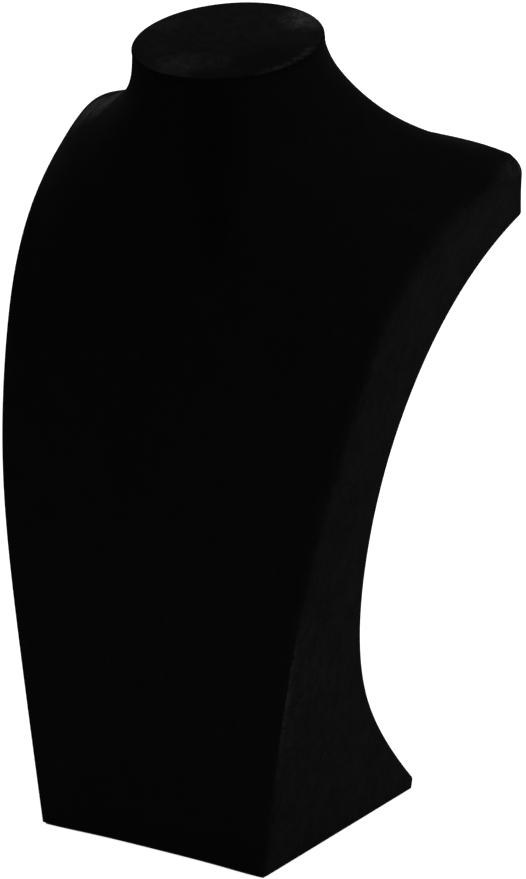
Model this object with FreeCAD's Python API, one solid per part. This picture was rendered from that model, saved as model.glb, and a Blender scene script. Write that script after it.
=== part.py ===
import FreeCAD, Part
import math
import os

from FreeCAD import Vector

# Jewellery display bust: a hollow moulded torso covered with velvet.
# Front of the bust faces -Y, up is +Z, the origin is the middle of the base on the table.
# All sizes are millimetres.

# Overall size
base_width = 114.8
base_depth = 120.6
shoulder_width = 208.4
shoulder_height = 295.5
neck_rise = 47.2
neck_width = 82.0
neck_depth = 74.0
neck_tilt = 12.7

# Materials and fits
velvet = 1.0
form_wall = 3.0
ledge = 1.6
base_board_thickness = 3.0
felt_thickness = 1.2
felt_margin = 1.5
cap_board_thickness = 2.0
cap_overhang = 0.4
fit_gap = 0.2
edge_radius = 2.2
cap_edge_radius = 0.9

# Flare of the side faces: half width at the waist, how far the chest and the armpit lie in from
# the tip of the shoulder, and the rounded tip, which starts a drop below the shoulders
waist_height = 101.0
waist_half_width = 71.6
chest_drop = 94.5
chest_inset = 16.4
armpit_drop = 44.5
armpit_inset = 8.7
tip_drop = 11.0
tip_radius = 8.0
tip_turn = 60.0

# Hollow of the back, seen from the side: the low points as (y, height above the table),
# the high ones as (y, drop below the shoulders)
back_lip = 6.2
back_calf = (31.8, 33.5)
back_low = (5.2, 68.5)
back_waist = (-10.4, 161.5)
back_high = (-2.8, 111.5)
back_blade = (28.6, 63.2)
shoulder_heel = (77.6, 30.7)
shoulder_nape_y = 62.5

# Moulded sheet of the chest and shoulders. Low down it stands upright over the front of the
# base, at these drops below the shoulders.
upright_drops = [500.0, 405.5, 315.5, 240.5, 185.5]
# Then station by station up the chest and back over the shoulders: (y, drop below the
# shoulders) on the centre line and at the side edge.
sheet_stations = [
    ((-60.0, 145.5), (-55.2, 146.5)),
    ((-56.8, 113.5), (-47.5, 113.5)),
    ((-48.0, 83.5), (-37.2, 83.5)),
    ((-41.0, 47.0), (-23.3, 54.5)),
    ((-40.5, 10.0), (3.2, 28.5)),
    ((-44.4, -22.8), (32.5, 12.0)),
    ((-11.6, -28.4), (57.7, 2.1)),
    ((44.8, -10.2), (89.0, 5.7)),
    ((100.0, -7.0), (100.0, -1.0)),
    ((140.0, -8.0), (140.0, -2.0)),
    ((180.0, -9.0), (180.0, -3.0)),
]
chest_softness = 0.6

# Rings round the neck, from above its end down to the root. Front and back: growth past the
# neck's oval, and share of the way up from the shoulders to the tilted end. Side between them:
# share of the way out from the neck to the tip of the shoulder, share of the way up, then y.
neck_rings = [
    ((0.3, 1.350), (-0.009, 1.290), (-0.4, 1.250), 0.0),
    ((0.0, 1.000), (0.000, 1.000), (0.0, 1.000), 0.0),
    ((-0.2, 0.717), (0.049, 0.714), (-0.2, 0.817), 3.9),
    ((0.2, 0.451), (0.177, 0.465), (0.1, 0.626), 10.9),
    ((0.7, 0.174), (0.375, 0.261), (3.5, 0.402), 18.1),
    ((1.4, -0.224), (0.590, 0.116), (12.7, 0.195), 22.1),
]
# Rings on the chest and shoulders, outwards from the root of the neck:
# (front station, back station, half width as a share of the sheet's)
sheet_rings = [
    (8.27, 12.31, 0.88),
    (7.09, 12.56, 0.99),
    (5.30, 12.90, 1.12),
    (3.00, 13.40, 1.32),
    (0.20, 14.60, 1.75),
]
ring_points = 48

# How far the shapes used for cutting run past the bust
run_past = 10.0
block_past = 60.0
flare_past = 120.0
far = 2 * (shoulder_height + neck_rise)
curve_steps = 40

# Kind of corner in an outline that is drawn in: its lines run on until they meet
meeting_corners = 2

front_y = -base_depth / 2
neck_height = shoulder_height + neck_rise
tip_height = shoulder_height - tip_drop


def below_shoulders(point):
    """Point in the side view from its (y, drop below the shoulders)."""
    return point[0], shoulder_height - point[1]


def spline(points, parameters=None):
    """Smooth curve through a list of points."""
    curve = Part.BSplineCurve()
    if parameters:
        curve.interpolate(Points=points, Parameters=parameters)
    else:
        curve.interpolate(Points=points)
    return curve


def flare_curve():
    """Side face seen from the front, with its height as the curve's parameter."""
    half_base = base_width / 2
    lower_slope = (waist_half_width - half_base) / waist_height
    rows = [
        (half_base - flare_past * lower_slope, -flare_past),
        (half_base, 0.0),
        (waist_half_width, waist_height),
        (shoulder_width / 2 - chest_inset, shoulder_height - chest_drop),
        (shoulder_width / 2 - armpit_inset, shoulder_height - armpit_drop),
        (shoulder_width / 2, tip_height),
    ]
    return spline([Vector(x, 0, z) for x, z in rows], [z for x, z in rows])


flare = flare_curve()


def half_width(height):
    """Half width of the bust at one height."""
    return flare.value(max(-flare_past, min(height, tip_height))).x


def sheet_curves():
    """Centre line and side edge of the moulded sheet, with the station as parameter."""
    upright = [((front_y, drop), (front_y, drop)) for drop in upright_drops]
    centre = []
    edge = []
    for centre_point, edge_point in upright + sheet_stations:
        centre_y, centre_z = below_shoulders(centre_point)
        edge_y, edge_z = below_shoulders(edge_point)
        centre.append(Vector(0, centre_y, centre_z))
        edge.append(Vector(half_width(edge_z), edge_y, edge_z))
    stations = [float(index) for index in range(len(centre))]
    return spline(centre, stations), spline(edge, stations)


centre_line, edge_line = sheet_curves()


def sheet_point(across, station):
    """Point of the sheet: across is 0 on the centre line and 1 at the side edge."""
    centre = centre_line.value(station)
    edge = edge_line.value(station)
    reach = math.hypot(across, chest_softness) - chest_softness
    share = reach / (math.hypot(1.0, chest_softness) - chest_softness)
    y = centre.y + (edge.y - centre.y) * share
    z = centre.z + (edge.z - centre.z) * share
    return Vector(across * edge.x, y, z)


def swing(front, side, back, angle):
    """Value that passes from front to side to back as the angle goes from 0 to 180 degrees."""
    turn = math.cos(angle)
    return side + (front - back) / 2 * turn + ((front + back) / 2 - side) * turn ** 2


def neck_end_height(y):
    """Height of the neck's tilted end at a distance behind the middle."""
    return neck_height + y * math.tan(math.radians(neck_tilt))


def neck_ring_point(ring, angle):
    """Point of a ring round the neck; the angle is 0 in front."""
    (front_grow, front_share), (side_out, side_share), (back_grow, back_share), side_y = ring
    y = swing(-neck_depth / 2 - front_grow, side_y, neck_depth / 2 + back_grow, angle)
    share = swing(front_share, side_share, back_share, angle)
    z = shoulder_height + share * (neck_end_height(y) - shoulder_height)
    side = neck_width / 2 + side_out * (shoulder_width - neck_width) / 2
    return Vector(side * math.sin(angle), y, z)


def sheet_ring_point(ring, angle):
    """Point of a ring that lies on the chest and shoulders; the angle is 0 in front."""
    front, back, side = ring
    station = (front + back) / 2 - (back - front) / 2 * math.cos(angle)
    return sheet_point(side * math.sin(angle), station)


def ring_grid():
    """All ring points of the outer surface, each ring starting at the back."""
    angles = [math.pi + 2 * math.pi * step / ring_points for step in range(ring_points)]
    grid = [[neck_ring_point(ring, angle) for angle in angles] for ring in neck_rings]
    grid += [[sheet_ring_point(ring, angle) for angle in angles] for ring in sheet_rings]
    return grid


def inset_grid(grid, inset):
    """Ring points moved into the bust, square to the surface."""
    moved = []
    last = len(grid) - 1
    for row, ring in enumerate(grid):
        above = grid[max(row - 1, 0)]
        below = grid[min(row + 1, last)]
        new_ring = []
        for step, point in enumerate(ring):
            along = ring[(step + 1) % ring_points] - ring[step - 1]
            down = below[step] - above[step]
            inward = along.cross(down).normalize()
            new_ring.append(point + inward * inset)
        moved.append(new_ring)
    return moved


def ring_curve(points):
    """Closed smooth curve through one ring."""
    curve = Part.BSplineCurve()
    steps = [float(step) for step in range(len(points) + 1)]
    curve.interpolate(Points=points, PeriodicFlag=True, Parameters=steps)
    return curve


def skin(rings):
    """Smooth face through closed rings; each line across the rings is a spline of its own."""
    curves = [ring_curve(ring) for ring in rings]
    rows = [float(row) for row in range(len(rings))]
    across_rings = [spline(list(poles), rows) for poles in zip(*[curve.getPoles() for curve in curves])]
    round_ring, across_ring = curves[0], across_rings[0]
    surface = Part.BSplineSurface()
    surface.buildFromPolesMultsKnots(
        [curve.getPoles() for curve in across_rings],
        round_ring.getMultiplicities(),
        across_ring.getMultiplicities(),
        round_ring.getKnots(),
        across_ring.getKnots(),
        True,
        False,
        round_ring.Degree,
        across_ring.Degree,
    )
    return surface.toShape()


def ruled_end(ring, flat_ring):
    """Straight faces from a ring to its flat copy, and the flat face that closes them."""
    start = Part.Wire(ring_curve(ring).toShape())
    end = Part.Wire(ring_curve(flat_ring).toShape())
    return Part.makeLoft([start, end], False, True).Faces + [Part.Face(end)]


def moulded_block(inset):
    """Solid behind the moulded sheet, running past the bust behind, beside, below and above it."""
    grid = inset_grid(ring_grid(), inset)
    block_back = max(point.y for point in grid[-1]) + block_past
    block_top = max(point.z for point in grid[0]) + block_past
    behind = [Vector(point.x, block_back, point.z) for point in grid[-1]]
    above = [Vector(point.x, point.y, block_top) for point in grid[0]]
    faces = [skin(grid)] + ruled_end(grid[-1], behind) + ruled_end(grid[0], above)
    shell = Part.makeShell(faces)
    shell.sewShape()
    block = Part.Solid(shell)
    if block.Volume < 0:
        block.reverse()
    return block


def polygon(points):
    """Straight edges through a list of points."""
    return [Part.LineSegment(start, end).toShape() for start, end in zip(points, points[1:])]


def flat_face(edges):
    """Flat face inside a closed chain of edges."""
    return Part.Face(Part.Wire(Part.sortEdges(edges)[0]))


def back_curve():
    """Hollow of the back, from the lip of the base up to the heel of the shoulders."""
    low = [(base_depth / 2, back_lip), back_calf, back_low]
    high = [below_shoulders(point) for point in (back_waist, back_high, back_blade, shoulder_heel)]
    return spline([Vector(0, y, z) for y, z in low + high]).toShape()


def redrawn(edge):
    """Edge drawn again as a straight line or as one spline."""
    if isinstance(edge.Curve, Part.Line):
        return polygon([vertex.Point for vertex in edge.Vertexes])[0]
    return spline(edge.discretize(curve_steps)).toShape()


def drawn_in(outline, inset):
    """Flat outline made smaller all round."""
    if not inset:
        return outline
    return flat_face([redrawn(edge) for edge in outline.makeOffset2D(-inset, meeting_corners).Edges])


def side_outline(inset):
    """Outline of the bust seen from the side, open in front, below and above."""
    heel_y, heel_z = below_shoulders(shoulder_heel)
    heel = Vector(0, heel_y, heel_z)
    lean = Vector(0, shoulder_nape_y - heel_y, shoulder_height - heel_z)
    nape = heel + lean * 2
    above = [nape, Vector(0, far, nape.z), Vector(0, far, far), Vector(0, -far, far)]
    below = [Vector(0, -far, -far), Vector(0, base_depth / 2, -far), Vector(0, base_depth / 2, back_lip)]
    return drawn_in(flat_face([back_curve()] + polygon([heel] + above + below)), inset)


def tip_line():
    """Rounded tip of the shoulder seen from the front, then a straight line inwards, and its end."""
    slope = flare.getD1(tip_height)[1].normalize()
    start = flare.value(tip_height)
    centre = start + Vector(-slope.z, 0, slope.x) * tip_radius
    first = math.atan2(start.z - centre.z, start.x - centre.x)
    turn = math.radians(tip_turn)
    middle, end = [
        centre + Vector(math.cos(angle), 0, math.sin(angle)) * tip_radius
        for angle in (first + turn / 2, first + turn)
    ]
    outwards = (end - centre).normalize()
    run_on = end + Vector(-outwards.z, 0, outwards.x) * block_past
    return [Part.Arc(start, middle, end).toShape()] + polygon([end, run_on]), run_on


def front_outline(inset):
    """Outline of the side faces seen from the front, open below and above."""
    tip, top = tip_line()
    right = [flare.toShape()] + tip
    left = [edge.mirror(Vector(0, 0, 0), Vector(1, 0, 0)) for edge in right]
    bottom = flare.StartPoint
    over = polygon([top, Vector(top.x, 0, far), Vector(-top.x, 0, far), Vector(-top.x, 0, top.z)])
    under = polygon([Vector(-bottom.x, 0, bottom.z), bottom])
    return drawn_in(flat_face(right + left + over + under), inset)


def level_band(base_level, neck_drop):
    """Band between a level above the table and a level below the tilted end of the neck."""
    back_top = neck_end_height(far) - neck_drop
    front_top = neck_end_height(-far) - neck_drop
    corners = [(-far, base_level), (far, base_level), (far, back_top), (-far, front_top)]
    return flat_face(polygon([Vector(0, y, z) for y, z in corners + corners[:1]]))


def prism(face, direction):
    """Prism on a face, reaching well past the bust on both sides."""
    return face.translated(direction * -far).extrude(direction * 2 * far)


def bust(inset, base_level, neck_drop):
    """Bust drawn in by an inset, cut off at its base and at the top of its neck."""
    side = side_outline(inset).common(level_band(base_level, neck_drop)).Faces[0]
    shape = moulded_block(inset).common(prism(front_outline(inset), Vector(0, 1, 0)))
    return shape.common(prism(side, Vector(1, 0, 0))).Solids[0]


def is_end(face):
    """Whether a face is the flat base or the flat end of the neck."""
    return isinstance(face.Surface, Part.Plane) and abs(face.Surface.Axis.z) > abs(face.Surface.Axis.y)


def rounded(shape, radius):
    """Bust with its long edges rounded; the edges of its base and of its neck end stay sharp."""
    long_edges = []
    for edge in shape.Edges:
        faces = shape.ancestorsOfType(edge, Part.Face)
        if len(faces) == 2 and not any(is_end(face) for face in faces):
            long_edges.append(edge)
    return shape.makeFillet(radius, long_edges)


def low_slab(height):
    """Slab from below the table up to a height."""
    return Part.makeBox(2 * far, 2 * far, far + height, Vector(-far, -far, -far))


def cap_reach(grow):
    """Half width and half depth of the cap's oval, measured along its tilt."""
    return neck_width / 2 + grow, neck_depth / 2 / math.cos(math.radians(neck_tilt)) + grow


def on_neck(disc, drop):
    """Level disc brought to the tilt of the neck, its top a drop below the top of the bust."""
    disc.translate(Vector(0, 0, -drop))
    disc.rotate(Vector(0, 0, 0), Vector(1, 0, 0), neck_tilt)
    disc.translate(Vector(0, 0, neck_height))
    return disc


def cap_drop():
    """Height from the end of the neck up to the top of the cap, measured upright."""
    return (velvet + cap_board_thickness) / math.cos(math.radians(neck_tilt))


def body_form():
    """Moulded hollow torso, open at its base and at the end of its neck."""
    outside = bust(velvet, felt_thickness, cap_drop())
    hollow = bust(velvet + form_wall, -run_past, -run_past)
    seat = bust(velvet + form_wall - ledge, -run_past, cap_drop())
    seat = seat.common(low_slab(felt_thickness + base_board_thickness))
    return outside.cut(hollow).cut(seat)


def base_board():
    """Board that closes the foot of the form, resting on the ledge inside its wall."""
    plate = bust(velvet + form_wall - ledge + fit_gap, felt_thickness, cap_drop())
    return plate.common(low_slab(felt_thickness + base_board_thickness))


def base_felt():
    """Felt under the base; the bust stands on it."""
    return bust(felt_margin, 0, cap_drop()).common(low_slab(felt_thickness))


def cap_board():
    """Oval board on the end of the neck."""
    side, front = cap_reach(cap_overhang - velvet)
    oval = Part.Face(Part.Wire(Part.Ellipse(Vector(0, 0, 0), side, front).toShape()))
    return on_neck(oval.extrude(Vector(0, 0, -cap_board_thickness)), velvet)


def cap_velvet():
    """Velvet over the top and round the edge of the oval board, turned and stretched to the oval."""
    side, front = cap_reach(cap_overhang)
    depth = velvet + cap_board_thickness
    turn = cap_edge_radius * math.sqrt(0.5)
    middle = Vector(front - cap_edge_radius, 0, -cap_edge_radius)
    top, rim = middle + Vector(0, 0, cap_edge_radius), middle + Vector(cap_edge_radius, 0, 0)
    edge = Part.Arc(top, middle + Vector(turn, 0, turn), rim).toShape()
    sides = polygon([rim, Vector(front, 0, -depth), Vector(0, 0, -depth), Vector(0, 0, 0), top])
    disc = flat_face([edge] + sides).revolve(Vector(0, 0, 0), Vector(0, 0, 1), 360)
    stretch = FreeCAD.Matrix()
    stretch.scale(side / front, 1, 1)
    return on_neck(disc.transformGeometry(stretch), 0).cut(cap_board())


def velvet_covers():
    """Front, back and side covers, glued on the form and butted along its edges."""
    outside = rounded(bust(0, felt_thickness, cap_drop()), edge_radius)
    between_sides = prism(front_outline(velvet), Vector(0, 1, 0))
    before_back = prism(side_outline(velvet), Vector(1, 0, 0))
    sides = outside.cut(between_sides).Solids
    left, right = sorted(sides, key=lambda solid: solid.CenterOfMass.x)
    middle = outside.common(between_sides)
    return {
        "front_velvet": middle.common(before_back).cut(moulded_block(velvet)),
        "back_velvet": middle.cut(before_back),
        "side_velvet_left": left,
        "side_velvet_right": right,
    }


def all_pieces():
    """Every piece of the bust under its name."""
    pieces = {
        "body_form": body_form(),
        "base_board": base_board(),
        "base_felt": base_felt(),
        "cap_board": cap_board(),
        "cap_velvet": cap_velvet(),
    }
    pieces.update(velvet_covers())
    return pieces


if __name__ == "__main__":
    os.makedirs("parts", exist_ok=True)
    for name, piece in all_pieces().items():
        solid = piece.Solids[0]
        solid.exportStep("parts/" + name + ".step")
        print(name, round(solid.Volume), "mm3")
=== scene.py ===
import math

import bpy
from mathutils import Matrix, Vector
from mathutils.bvhtree import BVHTree


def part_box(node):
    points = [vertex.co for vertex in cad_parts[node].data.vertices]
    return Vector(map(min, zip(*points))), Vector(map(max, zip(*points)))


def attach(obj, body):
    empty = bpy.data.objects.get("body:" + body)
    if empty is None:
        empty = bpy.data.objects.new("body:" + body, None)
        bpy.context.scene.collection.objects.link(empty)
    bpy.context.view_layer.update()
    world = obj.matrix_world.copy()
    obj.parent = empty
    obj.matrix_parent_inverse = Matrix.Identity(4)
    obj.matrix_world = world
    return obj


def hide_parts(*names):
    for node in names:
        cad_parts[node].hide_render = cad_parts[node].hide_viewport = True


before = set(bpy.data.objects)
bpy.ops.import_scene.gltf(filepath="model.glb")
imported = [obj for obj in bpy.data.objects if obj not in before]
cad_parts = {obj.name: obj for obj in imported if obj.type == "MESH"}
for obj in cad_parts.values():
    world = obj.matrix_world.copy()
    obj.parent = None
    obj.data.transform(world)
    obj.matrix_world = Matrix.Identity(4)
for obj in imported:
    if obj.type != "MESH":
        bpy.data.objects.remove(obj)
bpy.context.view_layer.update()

bl_info = {
    "name": "Velvet display bust",
    "version": (1, 0, 0),
    "blender": (4, 5, 0),
    "location": "View3D > Sidebar > Display bust",
    "description": "Covers the moulded bust with velvet and sets it on a pale studio floor",
    "category": "Object",
}

# Everything is in metres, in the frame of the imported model: the front faces -Y and up is +Z.
FEET_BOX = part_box("base_felt")
SIDE_NODES = ("side_velvet_left", "side_velvet_right")

# Noise levels between which a share of the pile runs from 0 to 1
TUFT_LEVELS = (0.36, 0.66)
BRUSH_LEVELS = (0.34, 0.68)
NOISE_ROUGHNESS = 0.6
BRUSH_DISTORTION = 0.4
GRAIN_DETAIL = 5.0

# Share of the brushed colour that even pile shows, and what its tufts add
EVEN_SHARE = 0.4
TUFT_SHARE = 0.35
# How much more the mottles show in rubbed pile and in the painted sheen and highlights
WORN_AND_SHEEN_MOTTLE = 0.7
LINT_CELLS_PER_METRE = 110.0
LEAST_ROUGHNESS = 0.9
TUFT_ROUGHNESS = 0.1

# A soft patch is full up to this share of its radius, and lies on faces that look up this far
PATCH_CORE = 0.2
UPWARD_LEVELS = (0.4, 0.8)

# Painted light and shade, as a share: at 0 the pile is painted dark as in shade, at 1 as lit
FRONT_PAINTED_LIGHT = 0.13
SEAM_PAINTED_LIGHT = 0.28
# The back is painted lighter all over, as painted sheen
BACK_PAINTED_SHEEN = 0.6
# Painted light on the top of the cap, and painted shade round its edge
CAP_PAINTED_LIGHT = 0.2
CAP_EDGE_PAINTED_SHADE = 0.04
# Painted light that the front gains from this height down to the table
FRONT_GAIN = 0.13
FRONT_GAIN_HEIGHT = 0.3
# Painted light on the sides: least at a height, more with the square of the distance from it
SIDE_PAINTED_LIGHT = 0.31
SIDE_PAINTED_LIGHT_HEIGHT = 0.18
SIDE_GAIN = 5.5
# Heights between which the seams are painted as dark as the front, at the top of the shoulder
SEAM_DARK_HEIGHTS = (0.277, 0.287)
# How far faces look up, as the height of their normal: where the side tips turn up into painted
# shade, where the cap is flat past its painted shade, and where its painted rim highlight begins
# and ends
TIP_TURN = (0.2, 0.7)
CAP_FLAT = (0.88, 0.96)
RIM_BEGIN = (0.2, 0.5)
RIM_END = (0.95, 0.85)

# Ovals of painted shade, rubbed pile and painted highlight: centre, then half width, depth and
# height
# Painted shade at the throat and at its foot
THROAT = ((0.015, -0.036, 0.312), (0.017, 0.06, 0.06))
THROAT_FOOT = ((0.018, -0.037, 0.275), (0.012, 0.06, 0.03))
LOW_FRONT_EDGE = ((0.066, -0.06, 0.085), (0.03, 0.02, 0.05))
SHOULDER_TIP = ((0.104, 0.061, 0.288), (0.006, 0.006, 0.008))
# Painted highlight on the right front rim of the cap
CAP_RIM = ((0.037, -0.014, 0.3395), (0.020, 0.026, 0.02))
# Strength of the rubbed edge and tip and of the painted rim highlight; reach of a rubbed edge from
# its seam
EDGE_RUB = 0.2
EDGE_RUB_REACH = 0.002
TIP_RUB = 0.35
RIM_HIGHLIGHT = 0.2

# Soft patches: centre, radius, strength
# Painted sheen on the top of the left shoulder
SHOULDER_SHEEN = [
    ((-0.070, 0.017, 0.305), 0.018, 0.75),
    ((-0.085, 0.021, 0.297), 0.016, 0.6),
]
# Lighter patches on the top of the cap
CAP_PALE_PATCHES = [
    ((-0.006, -0.027, 0.337), 0.015, 0.12),
    ((0.006, -0.022, 0.338), 0.012, 0.06),
    ((0.022, 0.030, 0.349), 0.017, 0.4),
    ((-0.035, 0.004, 0.3435), 0.012, 0.05),
]
# Painted shade over the right front of the cap
CAP_SHADE = [
    ((0.030, -0.014, 0.340), 0.030, 0.7),
    ((0.014, -0.030, 0.336), 0.016, 0.5),
]
# Small patches of painted highlight in a row along the right front rim of the cap
CAP_RIM_POINTS = (
    (0.0335, -0.0215, 0.3378),
    (0.0360, -0.0175, 0.3388),
    (0.0380, -0.0128, 0.3399),
    (0.0393, -0.0077, 0.3412),
    (0.0398, -0.0027, 0.3424),
    (0.0395, 0.0022, 0.3436),
)
CAP_RIM_RADIUS = 0.0036
CAP_RIM_STRENGTH = 0.15

# Stage
PHOTO_HEIGHT = 879
SENSOR_LONG_SIDE = 36.0
CAMERA_REACH = 20.0
FLOOR_SIZE = 8.0
LAMP_AIM = (0.0, 0.0, 0.18)
WHITE = (1.0, 1.0, 1.0, 1.0)
# Share of plain white in the floor as it is seen, and the strength of that white
FLOOR_WHITE_SHARE = 0.8
FLOOR_WHITE_STRENGTH = 1.15


class ClothSettings(bpy.types.PropertyGroup):
    """How the cloth lies on the form."""

    # Over this reach from a seam, the painted light and shade of two covers run together
    seam_reach: bpy.props.FloatProperty(
        name="Seam reach",
        description="How far from a seam the pile of two covers runs together",
        default=0.0045,
        min=0.0001,
        subtype="DISTANCE",
        unit="LENGTH",
    )
    merge_distance: bpy.props.FloatProperty(
        name="Merge distance",
        description="Points of a cover's copy closer than this become one",
        default=0.000005,
        min=0.0,
        subtype="DISTANCE",
        unit="LENGTH",
    )
    crease_angle: bpy.props.FloatProperty(
        name="Crease angle",
        description="Edges that turn by more than this stay crisp",
        default=math.radians(38),
        subtype="ANGLE",
        unit="ROTATION",
    )


class VelvetSettings(bpy.types.PropertyGroup):
    """Colour and pile of the black velvet."""

    pile_color: bpy.props.FloatVectorProperty(
        name="Pile",
        description="Colour of the pile seen end on",
        default=(0.0008, 0.0008, 0.00085),
        subtype="COLOR",
        min=0.0,
        max=1.0,
    )
    # The brushed colour is the colour of brush marks and also of the painted light on sides, back
    # and seams
    brushed_and_lit_color: bpy.props.FloatVectorProperty(
        name="Brushed and lit pile",
        description="Colour of the pile where it leans and shows the sides of its fibres",
        default=(0.0062, 0.0060, 0.0060),
        subtype="COLOR",
        min=0.0,
        max=1.0,
    )
    lint_color: bpy.props.FloatVectorProperty(
        name="Lint",
        description="Colour of the small specks of lint",
        default=(0.014, 0.0135, 0.013),
        subtype="COLOR",
        min=0.0,
        max=1.0,
    )
    # The worn colour is the colour of rubbed pile and also of the painted sheen and highlights
    worn_and_sheen_color: bpy.props.FloatVectorProperty(
        name="Worn pile and sheen",
        description="Colour of the pile where it is rubbed flat or dusty",
        default=(0.022, 0.0212, 0.0205),
        subtype="COLOR",
        min=0.0,
        max=1.0,
    )
    sheen_color: bpy.props.FloatVectorProperty(
        name="Sheen",
        description="Colour of the light that the fibre tips catch at a flat angle",
        default=(0.86, 0.85, 0.88),
        subtype="COLOR",
        min=0.0,
        max=1.0,
    )
    sheen_weight: bpy.props.FloatProperty(
        name="Sheen weight",
        description="How much light the fibre tips catch",
        default=0.007,
        min=0.0,
        max=1.0,
        subtype="FACTOR",
    )
    sheen_roughness: bpy.props.FloatProperty(
        name="Sheen roughness",
        description="How far the sheen spreads from the rim over the surface",
        default=0.4,
        min=0.0,
        max=1.0,
        subtype="FACTOR",
    )
    tuft_size: bpy.props.FloatProperty(
        name="Tuft size",
        description="Width of one tuft of the pile",
        default=0.0014,
        min=0.0001,
        subtype="DISTANCE",
        unit="LENGTH",
    )
    mottle_size: bpy.props.FloatProperty(
        name="Mottle size",
        description="Width of the small patches where the pile stands or lies",
        default=0.0045,
        min=0.0001,
        subtype="DISTANCE",
        unit="LENGTH",
    )
    brush_size: bpy.props.FloatProperty(
        name="Brush mark size",
        description="Width of the patches in which the pile leans one way",
        default=0.016,
        min=0.001,
        subtype="DISTANCE",
        unit="LENGTH",
    )
    pile_relief: bpy.props.FloatProperty(
        name="Pile relief",
        description="Height difference between neighbouring tufts",
        default=0.0002,
        min=0.0,
        subtype="DISTANCE",
        unit="LENGTH",
    )


class StageSettings(bpy.types.PropertyGroup):
    """Camera, floor and lamps."""

    azimuth: bpy.props.FloatProperty(
        name="Azimuth",
        description="How far the camera stands to the right of the front",
        default=math.radians(32.67),
        subtype="ANGLE",
        unit="ROTATION",
    )
    elevation: bpy.props.FloatProperty(
        name="Elevation",
        description="How far the camera looks down",
        default=math.radians(17.70),
        subtype="ANGLE",
        unit="ROTATION",
    )
    distance: bpy.props.FloatProperty(
        name="Distance",
        description="From the camera to the point that it aims at",
        default=2.072,
        subtype="DISTANCE",
        unit="LENGTH",
    )
    aim: bpy.props.FloatVectorProperty(
        name="Aim",
        description="Point in the middle of the picture",
        default=(0.0, 0.02731, 0.16093),
        subtype="XYZ",
        unit="LENGTH",
    )
    focal_pixels: bpy.props.FloatProperty(
        name="Focal length in pixels",
        description="Focal length of the fitted camera, in pixels of the photograph",
        default=4801.06,
        subtype="PIXEL",
    )
    floor_color: bpy.props.FloatVectorProperty(
        name="Floor",
        description="Colour of the floor",
        default=(0.9, 0.9, 0.9),
        subtype="COLOR",
        min=0.0,
        max=1.0,
    )
    key_power: bpy.props.FloatProperty(
        name="Key power",
        description="Power of the large lamp on the viewer's right",
        default=22.0,
        unit="POWER",
    )
    fill_power: bpy.props.FloatProperty(
        name="Fill power",
        description="Power of the large lamp on the viewer's left",
        default=10.0,
        unit="POWER",
    )
    top_power: bpy.props.FloatProperty(
        name="Top power",
        description="Power of the lamp above the bust",
        default=16.0,
        unit="POWER",
    )
    back_power: bpy.props.FloatProperty(
        name="Back power",
        description="Power of the lamp behind the bust",
        default=22.0,
        unit="POWER",
    )
    ambient: bpy.props.FloatProperty(
        name="Ambient",
        description="Brightness of the surroundings as they light the bust",
        default=0.45,
    )


def pick_only(piece):
    """Selects one object and makes it active."""
    bpy.ops.object.select_all(action="DESELECT")
    piece.select_set(True)
    bpy.context.view_layer.objects.active = piece


def copy_of_node(node, name):
    """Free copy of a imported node, merged, with none of its marks."""
    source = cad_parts[node]
    piece = source.copy()
    piece.data = source.data.copy()
    for key in list(piece.keys()):
        del piece[key]
    piece.parent = None
    piece.name = name
    piece.data.name = name
    piece.data.materials.clear()
    bpy.context.scene.collection.objects.link(piece)
    pick_only(piece)
    cloth = bpy.context.scene.bust_cloth
    if piece.data.has_custom_normals:
        bpy.ops.mesh.customdata_custom_splitnormals_clear()
    bpy.ops.object.mode_set(mode="EDIT")
    bpy.ops.mesh.select_all(action="SELECT")
    bpy.ops.mesh.remove_doubles(threshold=cloth.merge_distance)
    bpy.ops.object.mode_set(mode="OBJECT")
    return piece


def velvet_cover(node, name, material):
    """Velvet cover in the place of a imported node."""
    piece = copy_of_node(node, name)
    cloth = bpy.context.scene.bust_cloth
    bpy.ops.object.shade_smooth_by_angle(angle=cloth.crease_angle)
    piece.data.materials.append(material)
    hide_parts(node)
    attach(piece, "root")
    return piece


def eased(share):
    """Share from 0 to 1 with soft ends."""
    share = min(max(share, 0.0), 1.0)
    return share * share * (3.0 - 2.0 * share)


def soft_step(value, levels):
    """Share from 0 to 1 with soft ends, as a value goes from the first level to the second."""
    start, end = levels
    return eased((value - start) / (end - start))


def near(point, oval):
    """1 at the centre of an oval, fading softly to 0 at its edge."""
    away = [(value - middle) / half for value, middle, half in zip(point, *oval)]
    return eased(1.0 - math.sqrt(sum(value * value for value in away)))


def mark_pile(piece, neighbours, inside, at_seam, rubbed_and_lit):
    """Writes at each point its painted light and shade, and its rub and painted highlight.

    inside is a function of the point and its normal, at_seam of the point, and the function for
    rub and painted highlight of the point, its normal and its distance from the seams.
    """
    reach = bpy.context.scene.bust_cloth.seam_reach
    trees = []
    for node in neighbours:
        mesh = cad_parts[node].data
        corners = [vertex.co for vertex in mesh.vertices]
        trees.append(BVHTree.FromPolygons(corners, [face.vertices for face in mesh.polygons]))
    mesh = piece.data
    painted_light = mesh.attributes.new("painted_light", "FLOAT", "POINT")
    rub_and_highlight = mesh.attributes.new("rub_and_highlight", "FLOAT", "POINT")
    painted_light_values = []
    rub_and_highlight_values = []
    for vertex in mesh.vertices:
        point, normal = vertex.co, vertex.normal
        distance = min((tree.find_nearest(point)[3] for tree in trees), default=reach)
        seam_value = at_seam(point)
        gain = (inside(point, normal) - seam_value) * eased(distance / reach)
        painted_light_values.append(seam_value + gain)
        rub_and_highlight_values.append(rubbed_and_lit(point, normal, distance))
    painted_light.data.foreach_set("value", painted_light_values)
    rub_and_highlight.data.foreach_set("value", rub_and_highlight_values)


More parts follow.
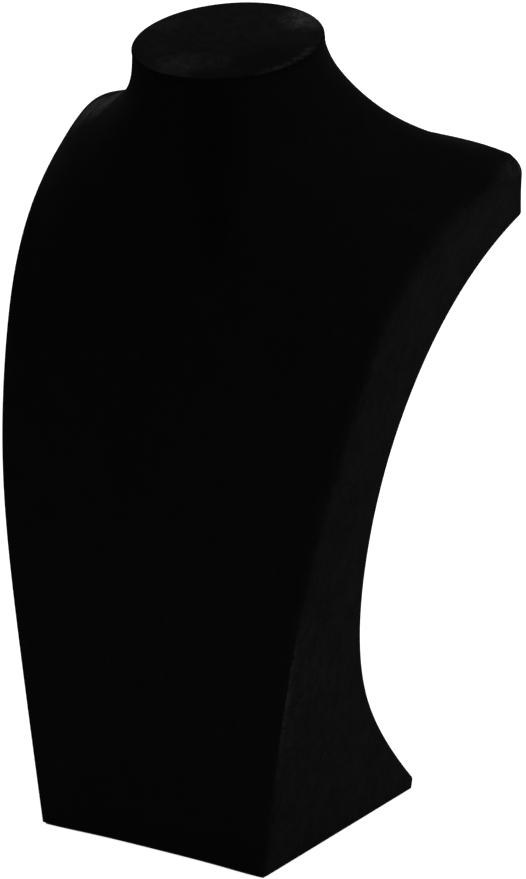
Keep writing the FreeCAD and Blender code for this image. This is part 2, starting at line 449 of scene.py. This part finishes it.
def node_socket(group, name, kind, side, value=None):
    """Adds a named socket to a node group."""
    socket = group.interface.new_socket(name=name, in_out=side, socket_type=kind)
    if value is not None:
        socket.default_value = value


def noise_share(nodes, link, place, scale, levels, detail, distortion=0.0):
    """Noise at a scale, spread to 0 to 1 between two levels; gives the noise and the share."""
    noise = nodes.new("ShaderNodeTexNoise")
    noise.inputs["Detail"].default_value = detail
    noise.inputs["Roughness"].default_value = NOISE_ROUGHNESS
    noise.inputs["Distortion"].default_value = distortion
    link(place, noise.inputs["Vector"])
    link(scale, noise.inputs["Scale"])
    spread = nodes.new("ShaderNodeMapRange")
    spread.inputs["From Min"].default_value, spread.inputs["From Max"].default_value = levels
    link(noise.outputs["Fac"], spread.inputs["Value"])
    return noise.outputs["Fac"], spread.outputs["Result"]


def arithmetic(nodes, link, operation, *values, clamp=False):
    """Math node on sockets or plain numbers."""
    node = nodes.new("ShaderNodeMath")
    node.operation = operation
    node.use_clamp = clamp
    for socket, value in zip(node.inputs, values):
        if isinstance(value, (int, float)):
            socket.default_value = value
        else:
            link(value, socket)
    return node.outputs["Value"]


def blend_colors(nodes, link, share, first, second):
    """Mix node from one colour to another."""
    mix = nodes.new("ShaderNodeMix")
    mix.data_type = "RGBA"
    link(share, mix.inputs["Factor"])
    link(first, mix.inputs["A"])
    link(second, mix.inputs["B"])
    return mix.outputs["Result"]


def velvet_pile_group():
    """Node group for short velvet pile: tufts, mottles, brush marks, wear, specks of lint, and
    painted light, shade, sheen and highlights.
    """
    found = bpy.data.node_groups.get("velvet_pile")
    if found:
        return found
    group = bpy.data.node_groups.new("velvet_pile", "ShaderNodeTree")
    node_socket(group, "Pile Color", "NodeSocketColor", "INPUT", (0.001, 0.001, 0.001, 1))
    node_socket(group, "Brushed And Lit Color", "NodeSocketColor", "INPUT", (0.006, 0.006, 0.006, 1))
    node_socket(group, "Worn And Sheen Color", "NodeSocketColor", "INPUT", (0.02, 0.02, 0.02, 1))
    node_socket(group, "Lint Color", "NodeSocketColor", "INPUT", (0.015, 0.015, 0.015, 1))
    node_socket(group, "Tuft Scale", "NodeSocketFloat", "INPUT", 700.0)
    node_socket(group, "Mottle Scale", "NodeSocketFloat", "INPUT", 220.0)
    node_socket(group, "Brush Scale", "NodeSocketFloat", "INPUT", 60.0)
    node_socket(group, "Brush Share", "NodeSocketFloat", "INPUT", 0.35)
    node_socket(group, "Mottle Share", "NodeSocketFloat", "INPUT", 0.3)
    node_socket(group, "Wear And Sheen", "NodeSocketFloat", "INPUT", 0.0)
    node_socket(group, "Painted Shade", "NodeSocketFloat", "INPUT", 0.0)
    node_socket(group, "Lint Share", "NodeSocketFloat", "INPUT", 0.02)
    node_socket(group, "Color", "NodeSocketColor", "OUTPUT")
    node_socket(group, "Roughness", "NodeSocketFloat", "OUTPUT")
    node_socket(group, "Height", "NodeSocketFloat", "OUTPUT")
    nodes = group.nodes
    link = group.links.new
    given = nodes.new("NodeGroupInput").outputs
    out = nodes.new("NodeGroupOutput")
    place = nodes.new("ShaderNodeTexCoord").outputs["Object"]
    # Painted light and shade, written at each point of the covers
    painted_light = nodes.new("ShaderNodeAttribute")
    painted_light.attribute_name = "painted_light"
    rub_and_highlight = nodes.new("ShaderNodeAttribute")
    rub_and_highlight.attribute_name = "rub_and_highlight"

    tufts, tuft_share = noise_share(
        nodes, link, place, given["Tuft Scale"], TUFT_LEVELS, detail=3.0
    )
    _, mottle_share = noise_share(
        nodes, link, place, given["Mottle Scale"], TUFT_LEVELS, detail=2.0
    )
    _, brush_share = noise_share(
        nodes, link, place, given["Brush Scale"], BRUSH_LEVELS, detail=4.0,
        distortion=BRUSH_DISTORTION,
    )
    even = arithmetic(nodes, link, "MULTIPLY_ADD", tuft_share, TUFT_SHARE, EVEN_SHARE)
    large = arithmetic(nodes, link, "MULTIPLY_ADD", brush_share, given["Brush Share"], even)
    marks = arithmetic(nodes, link, "MULTIPLY_ADD", mottle_share, given["Mottle Share"], large)
    # Patches of painted shade take the painted light away
    unshaded = arithmetic(nodes, link, "SUBTRACT", 1.0, given["Painted Shade"])
    painted_light_share = arithmetic(nodes, link, "MULTIPLY", painted_light.outputs["Fac"], unshaded)
    share = arithmetic(nodes, link, "MULTIPLY", marks, painted_light_share)
    pile = blend_colors(nodes, link, share, given["Pile Color"], given["Brushed And Lit Color"])

    # Rubbed pile, painted sheen and painted highlights blend towards the worn colour
    rubbed_and_lit = arithmetic(nodes, link, "MULTIPLY_ADD", mottle_share, WORN_AND_SHEEN_MOTTLE, tuft_share)
    wear_and_sheen = arithmetic(nodes, link, "MAXIMUM", given["Wear And Sheen"], rub_and_highlight.outputs["Fac"])
    worn_and_sheen = arithmetic(nodes, link, "MULTIPLY", rubbed_and_lit, wear_and_sheen, clamp=True)
    pile = blend_colors(nodes, link, worn_and_sheen, pile, given["Worn And Sheen Color"])

    cells = nodes.new("ShaderNodeTexVoronoi")
    cells.feature = "F1"
    cells.inputs["Scale"].default_value = LINT_CELLS_PER_METRE
    link(place, cells.inputs["Vector"])
    speck = arithmetic(nodes, link, "LESS_THAN", cells.outputs["Distance"], given["Lint Share"])
    pile = blend_colors(nodes, link, speck, pile, given["Lint Color"])

    roughness = arithmetic(
        nodes, link, "MULTIPLY_ADD", tufts, TUFT_ROUGHNESS, LEAST_ROUGHNESS
    )
    link(pile, out.inputs["Color"])
    link(roughness, out.inputs["Roughness"])
    link(tufts, out.inputs["Height"])
    return group


def soft_patch_group():
    """Node group for a round place on an upward face that fades out towards its edge."""
    found = bpy.data.node_groups.get("soft_patch")
    if found:
        return found
    group = bpy.data.node_groups.new("soft_patch", "ShaderNodeTree")
    node_socket(group, "Center", "NodeSocketVector", "INPUT")
    node_socket(group, "Radius", "NodeSocketFloat", "INPUT", 0.01)
    node_socket(group, "Strength", "NodeSocketFloat", "INPUT", 1.0)
    node_socket(group, "Mask", "NodeSocketFloat", "OUTPUT")
    nodes = group.nodes
    link = group.links.new
    given = nodes.new("NodeGroupInput").outputs
    out = nodes.new("NodeGroupOutput")
    place = nodes.new("ShaderNodeTexCoord").outputs
    away = nodes.new("ShaderNodeVectorMath")
    away.operation = "DISTANCE"
    link(place["Object"], away.inputs[0])
    link(given["Center"], away.inputs[1])
    share = arithmetic(nodes, link, "DIVIDE", away.outputs["Value"], given["Radius"])
    fade = nodes.new("ShaderNodeMapRange")
    fade.interpolation_type = "SMOOTHSTEP"
    fade.inputs["From Min"].default_value = 1.0
    fade.inputs["From Max"].default_value = PATCH_CORE
    link(share, fade.inputs["Value"])
    normal = nodes.new("ShaderNodeSeparateXYZ")
    link(place["Normal"], normal.inputs["Vector"])
    upward = nodes.new("ShaderNodeMapRange")
    upward.interpolation_type = "SMOOTHSTEP"
    upward.inputs["From Min"].default_value, upward.inputs["From Max"].default_value = UPWARD_LEVELS
    link(normal.outputs["Z"], upward.inputs["Value"])
    mask = arithmetic(nodes, link, "MULTIPLY", fade.outputs["Result"], upward.outputs["Result"])
    link(arithmetic(nodes, link, "MULTIPLY", mask, given["Strength"]), out.inputs["Mask"])
    return group


def new_material(name):
    """Empty node material with a Principled BSDF on its output."""
    material = bpy.data.materials.new(name)
    material.use_nodes = True
    nodes = material.node_tree.nodes
    nodes.clear()
    out = nodes.new("ShaderNodeOutputMaterial")
    shader = nodes.new("ShaderNodeBsdfPrincipled")
    material.node_tree.links.new(shader.outputs["BSDF"], out.inputs["Surface"])
    return material, nodes, material.node_tree.links.new, shader


def opaque(color):
    """Colour with full alpha."""
    return (*color, 1.0)


def patches_mask(nodes, link, patches):
    """Largest mask of some soft patches, each given as its centre, radius and strength."""
    mask = None
    for center, radius, strength in patches:
        patch = nodes.new("ShaderNodeGroup")
        patch.node_tree = soft_patch_group()
        patch.inputs["Center"].default_value = center
        patch.inputs["Radius"].default_value = radius
        patch.inputs["Strength"].default_value = strength
        found = patch.outputs["Mask"]
        mask = found if mask is None else arithmetic(nodes, link, "MAXIMUM", mask, found)
    return mask


def velvet_material(name, brush_share, mottle_share, lint_share, worn_and_sheen=(), painted_shade=()):
    """Black velvet; the first list holds soft patches of painted sheen, highlight and lighter pile,
    the second of painted shade.
    """
    velvet = bpy.context.scene.bust_velvet
    material, nodes, link, shader = new_material(name)
    pile = nodes.new("ShaderNodeGroup")
    pile.node_tree = velvet_pile_group()
    pile.inputs["Pile Color"].default_value = opaque(velvet.pile_color)
    pile.inputs["Brushed And Lit Color"].default_value = opaque(velvet.brushed_and_lit_color)
    pile.inputs["Worn And Sheen Color"].default_value = opaque(velvet.worn_and_sheen_color)
    pile.inputs["Lint Color"].default_value = opaque(velvet.lint_color)
    pile.inputs["Tuft Scale"].default_value = 1.0 / velvet.tuft_size
    pile.inputs["Mottle Scale"].default_value = 1.0 / velvet.mottle_size
    pile.inputs["Brush Scale"].default_value = 1.0 / velvet.brush_size
    pile.inputs["Brush Share"].default_value = brush_share
    pile.inputs["Mottle Share"].default_value = mottle_share
    pile.inputs["Lint Share"].default_value = lint_share
    # Patches of painted sheen, highlight and lighter pile, then patches of painted shade
    for socket, patches in (("Wear And Sheen", worn_and_sheen), ("Painted Shade", painted_shade)):
        if patches:
            link(patches_mask(nodes, link, patches), pile.inputs[socket])
    bump = nodes.new("ShaderNodeBump")
    bump.inputs["Distance"].default_value = velvet.pile_relief
    link(pile.outputs["Height"], bump.inputs["Height"])
    link(pile.outputs["Color"], shader.inputs["Base Color"])
    link(pile.outputs["Roughness"], shader.inputs["Roughness"])
    link(bump.outputs["Normal"], shader.inputs["Normal"])
    shader.inputs["Specular IOR Level"].default_value = 0.0
    shader.inputs["Sheen Weight"].default_value = velvet.sheen_weight
    shader.inputs["Sheen Roughness"].default_value = velvet.sheen_roughness
    shader.inputs["Sheen Tint"].default_value = opaque(velvet.sheen_color)
    return material


def plain_grain_material(name, low, high, grain_size, relief, roughness):
    """Matt material whose colour wanders between two shades, for felt, board and moulding."""
    material, nodes, link, shader = new_material(name)
    place = nodes.new("ShaderNodeTexCoord")
    grain = nodes.new("ShaderNodeTexNoise")
    grain.inputs["Scale"].default_value = 1.0 / grain_size
    grain.inputs["Detail"].default_value = GRAIN_DETAIL
    link(place.outputs["Object"], grain.inputs["Vector"])
    shade = nodes.new("ShaderNodeMix")
    shade.data_type = "RGBA"
    shade.inputs["A"].default_value = opaque(low)
    shade.inputs["B"].default_value = opaque(high)
    link(grain.outputs["Fac"], shade.inputs["Factor"])
    bump = nodes.new("ShaderNodeBump")
    bump.inputs["Distance"].default_value = relief
    link(grain.outputs["Fac"], bump.inputs["Height"])
    link(shade.outputs["Result"], shader.inputs["Base Color"])
    link(bump.outputs["Normal"], shader.inputs["Normal"])
    shader.inputs["Roughness"].default_value = roughness
    return material


def unrubbed(point, normal, distance):
    """Pile that is nowhere rubbed."""
    return 0.0


def seam_painted_light(point):
    """Painted light at the seams, as dark as in front where they cross the top of the shoulder."""
    return SEAM_PAINTED_LIGHT + (FRONT_PAINTED_LIGHT - SEAM_PAINTED_LIGHT) * soft_step(point.z, SEAM_DARK_HEIGHTS)


def front_painted_light(point, normal):
    """Painted lighter towards the foot, and painted shade at the throat."""
    painted_light_share = FRONT_PAINTED_LIGHT + FRONT_GAIN * (1.0 - point.z / FRONT_GAIN_HEIGHT)
    return painted_light_share * (1.0 - max(near(point, THROAT), near(point, THROAT_FOOT)))


def back_painted_sheen(point, normal):
    """Painted sheen, the same all over the back."""
    return BACK_PAINTED_SHEEN


def side_painted_light(point, normal):
    """Painted light, least below the shoulder, and painted as dark as in front where the tip turns
    up.
    """
    painted_light_share = SIDE_PAINTED_LIGHT + SIDE_GAIN * (point.z - SIDE_PAINTED_LIGHT_HEIGHT) ** 2
    return painted_light_share + (FRONT_PAINTED_LIGHT - painted_light_share) * soft_step(normal.z, TIP_TURN)


def side_rub(point, normal, distance):
    """Rubbed pile along the lower front edge and on the tip of the shoulder."""
    either_side = (abs(point.x), point.y, point.z)
    along_edge = eased(1.0 - distance / EDGE_RUB_REACH) if point.y < 0 else 0.0
    edge = EDGE_RUB * near(either_side, LOW_FRONT_EDGE) * along_edge
    return edge + TIP_RUB * near(either_side, SHOULDER_TIP)


def cap_painted_light(point, normal):
    """Painted shade round the edge of the cap."""
    return CAP_EDGE_PAINTED_SHADE + (CAP_PAINTED_LIGHT - CAP_EDGE_PAINTED_SHADE) * soft_step(normal.z, CAP_FLAT)


def cap_highlight(point, normal, distance):
    """Painted highlight along the rim at the right front."""
    rim = soft_step(normal.z, RIM_BEGIN) * soft_step(normal.z, RIM_END)
    return RIM_HIGHLIGHT * rim * near(point, CAP_RIM)


class BUST_OT_front_cover(bpy.types.Operator):
    """Velvet over the chest, the shoulders and the neck"""

    bl_idname = "bust.front_cover"
    bl_label = "Front cover"

    def execute(self, context):
        # Painted sheen lies on the top of the left shoulder
        material = velvet_material(
            "velvet_front", brush_share=0.2, mottle_share=0.12, lint_share=0.012,
            worn_and_sheen=SHOULDER_SHEEN,
        )
        piece = velvet_cover(
            "front_velvet", "front_cover", material,
        )
        mark_pile(piece, SIDE_NODES, front_painted_light, seam_painted_light, unrubbed)
        return {"FINISHED"}


class BUST_OT_back_cover(bpy.types.Operator):
    """Velvet down the hollow back"""

    bl_idname = "bust.back_cover"
    bl_label = "Back cover"

    def execute(self, context):
        material = velvet_material(
            "velvet_back", brush_share=0.35, mottle_share=0.3, lint_share=0.012
        )
        piece = velvet_cover(
            "back_velvet", "back_cover", material,
        )
        mark_pile(piece, SIDE_NODES, back_painted_sheen, seam_painted_light, unrubbed)
        return {"FINISHED"}


class BUST_OT_side_covers(bpy.types.Operator):
    """Velvet on the two flat sides"""

    bl_idname = "bust.side_covers"
    bl_label = "Side covers"

    def execute(self, context):
        material = velvet_material(
            "velvet_side", brush_share=0.35, mottle_share=0.35, lint_share=0.016
        )
        for node in SIDE_NODES:
            piece = velvet_cover(
                node, node.replace("velvet", "cover"), material,
            )
            mark_pile(piece, ("front_velvet", "back_velvet"), side_painted_light, seam_painted_light, side_rub)
        return {"FINISHED"}


class BUST_OT_cap_cover(bpy.types.Operator):
    """Velvet over the oval end of the neck"""

    bl_idname = "bust.cap_cover"
    bl_label = "Cap cover"

    def execute(self, context):
        # Painted highlight along the rim, lighter patches and painted shade on the cap
        rim_highlights = [(center, CAP_RIM_RADIUS, CAP_RIM_STRENGTH) for center in CAP_RIM_POINTS]
        material = velvet_material(
            "velvet_cap", brush_share=0.35, mottle_share=0.7, lint_share=0.016,
            worn_and_sheen=CAP_PALE_PATCHES + rim_highlights, painted_shade=CAP_SHADE,
        )
        piece = velvet_cover(
            "cap_velvet", "cap_cover", material,
        )
        mark_pile(piece, (), cap_painted_light, seam_painted_light, cap_highlight)
        return {"FINISHED"}


class BUST_OT_inner_parts(bpy.types.Operator):
    """Finishes of the moulded form, the boards and the felt"""

    bl_idname = "bust.inner_parts"
    bl_label = "Inner parts"

    def execute(self, context):
        finishes = {
            "body_form": plain_grain_material(
                "moulded_form", low=(0.03, 0.03, 0.03), high=(0.06, 0.06, 0.06),
                grain_size=0.004, relief=0.0001, roughness=0.8,
            ),
            "base_board": plain_grain_material(
                "grey_board", low=(0.04, 0.038, 0.036), high=(0.07, 0.068, 0.064),
                grain_size=0.001, relief=0.00005, roughness=0.9,
            ),
            "base_felt": plain_grain_material(
                "black_felt", low=(0.006, 0.006, 0.006), high=(0.02, 0.02, 0.021),
                grain_size=0.0006, relief=0.0002, roughness=1.0,
            ),
        }
        finishes["cap_board"] = finishes["base_board"]
        for node, material in finishes.items():
            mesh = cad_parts[node].data
            mesh.materials.clear()
            mesh.materials.append(material)
        return {"FINISHED"}


def add_lamp(name, place, size, power):
    """Large soft square lamp at a place, turned towards the bust."""
    data = bpy.data.lights.new(name, "AREA")
    data.shape = "SQUARE"
    data.size = size
    data.energy = power
    lamp = bpy.data.objects.new(name, data)
    bpy.context.scene.collection.objects.link(lamp)
    lamp.location = place
    towards = Vector(LAMP_AIM) - Vector(place)
    lamp.rotation_euler = towards.to_track_quat("-Z", "Y").to_euler()


def add_camera(stage):
    """Camera of the fitted view."""
    data = bpy.data.cameras.new("camera")
    data.sensor_width = SENSOR_LONG_SIDE
    data.lens = stage.focal_pixels / PHOTO_HEIGHT * SENSOR_LONG_SIDE
    data.clip_end = CAMERA_REACH
    camera = bpy.data.objects.new("camera", data)
    bpy.context.scene.collection.objects.link(camera)
    back = Vector((
        math.sin(stage.azimuth) * math.cos(stage.elevation),
        -math.cos(stage.azimuth) * math.cos(stage.elevation),
        math.sin(stage.elevation),
    ))
    camera.location = Vector(stage.aim) + back * stage.distance
    camera.rotation_euler = (-back).to_track_quat("-Z", "Y").to_euler()
    bpy.context.scene.camera = camera


def seen_directly(nodes, link):
    """1 for rays from the camera, from gloss and through glass, 0 for light on the object."""
    ray = nodes.new("ShaderNodeLightPath").outputs
    seen = arithmetic(nodes, link, "MAXIMUM", ray["Is Camera Ray"], ray["Is Glossy Ray"])
    return arithmetic(nodes, link, "MAXIMUM", seen, ray["Is Transmission Ray"])


def white_world(stage):
    """World that looks white and lights the bust softly."""
    world = bpy.data.worlds.new("studio")
    bpy.context.scene.world = world
    world.use_nodes = True
    nodes = world.node_tree.nodes
    link = world.node_tree.links.new
    nodes.clear()
    out = nodes.new("ShaderNodeOutputWorld")
    lit = nodes.new("ShaderNodeBackground")
    lit.inputs["Strength"].default_value = stage.ambient
    seen = nodes.new("ShaderNodeBackground")
    seen.inputs["Color"].default_value = WHITE
    seen.inputs["Strength"].default_value = 1.0
    mix = nodes.new("ShaderNodeMixShader")
    link(seen_directly(nodes, link), mix.inputs["Fac"])
    link(lit.outputs["Background"], mix.inputs[1])
    link(seen.outputs["Background"], mix.inputs[2])
    link(mix.outputs["Shader"], out.inputs["Surface"])


def floor_material(stage):
    """Pale floor that keeps a faint shadow and looks white around it."""
    material, nodes, link, shader = new_material("pale_floor")
    shader.inputs["Base Color"].default_value = opaque(stage.floor_color)
    shader.inputs["Roughness"].default_value = 1.0
    shader.inputs["Specular IOR Level"].default_value = 0.0
    white = nodes.new("ShaderNodeEmission")
    white.inputs["Color"].default_value = WHITE
    white.inputs["Strength"].default_value = FLOOR_WHITE_STRENGTH
    seen = seen_directly(nodes, link)
    mix = nodes.new("ShaderNodeMixShader")
    out = next(node for node in nodes if node.type == "OUTPUT_MATERIAL")
    link(arithmetic(nodes, link, "MULTIPLY", seen, FLOOR_WHITE_SHARE), mix.inputs["Fac"])
    link(shader.outputs["BSDF"], mix.inputs[1])
    link(white.outputs["Emission"], mix.inputs[2])
    link(mix.outputs["Shader"], out.inputs["Surface"])
    return material


class BUST_OT_stage(bpy.types.Operator):
    """Pale floor, soft lamps, white surroundings and the camera"""

    bl_idname = "bust.stage"
    bl_label = "Stage"

    def execute(self, context):
        stage = context.scene.bust_stage
        bpy.ops.object.select_all(action="DESELECT")
        bpy.ops.mesh.primitive_plane_add(size=FLOOR_SIZE, location=(0, 0, FEET_BOX[0].z))
        floor = context.active_object
        floor.name = "floor"
        floor.data.materials.append(floor_material(stage))
        add_lamp("key_lamp", place=(1.3, -0.2, 0.9), size=0.9, power=stage.key_power)
        add_lamp("fill_lamp", place=(-1.1, -1.2, 0.9), size=1.0, power=stage.fill_power)
        add_lamp("top_lamp", place=(0.0, 0.5, 1.5), size=0.9, power=stage.top_power)
        add_lamp("back_lamp", place=(-0.5, 1.5, 0.6), size=0.9, power=stage.back_power)
        white_world(stage)
        add_camera(stage)
        context.scene.view_settings.view_transform = "Standard"
        return {"FINISHED"}


class BUST_PT_panel(bpy.types.Panel):
    """Sidebar panel with every step of dressing the bust"""

    bl_idname = "BUST_PT_panel"
    bl_label = "Display bust"
    bl_space_type = "VIEW_3D"
    bl_region_type = "UI"
    bl_category = "Display bust"

    def draw(self, context):
        for operator in OPERATORS:
            self.layout.operator(operator.bl_idname)
        scene = context.scene
        for group in (scene.bust_cloth, scene.bust_velvet, scene.bust_stage):
            box = self.layout.box()
            for name in group.bl_rna.properties.keys():
                if name not in ("rna_type", "name"):
                    box.prop(group, name)


OPERATORS = (
    BUST_OT_front_cover,
    BUST_OT_back_cover,
    BUST_OT_side_covers,
    BUST_OT_cap_cover,
    BUST_OT_inner_parts,
    BUST_OT_stage,
)
CLASSES = (ClothSettings, VelvetSettings, StageSettings, *OPERATORS, BUST_PT_panel)


def register():
    """Registers the settings, the operators and the panel."""
    for item in CLASSES:
        bpy.utils.register_class(item)
    bpy.types.Scene.bust_cloth = bpy.props.PointerProperty(type=ClothSettings)
    bpy.types.Scene.bust_velvet = bpy.props.PointerProperty(type=VelvetSettings)
    bpy.types.Scene.bust_stage = bpy.props.PointerProperty(type=StageSettings)


def unregister():
    """Takes the settings, the operators and the panel away again."""
    del bpy.types.Scene.bust_stage
    del bpy.types.Scene.bust_velvet
    del bpy.types.Scene.bust_cloth
    for item in reversed(CLASSES):
        bpy.utils.unregister_class(item)


def main():
    register()
    bpy.ops.bust.front_cover()
    bpy.ops.bust.back_cover()
    bpy.ops.bust.side_covers()
    bpy.ops.bust.cap_cover()
    bpy.ops.bust.inner_parts()
    bpy.ops.bust.stage()


if __name__ == "__main__":
    main()
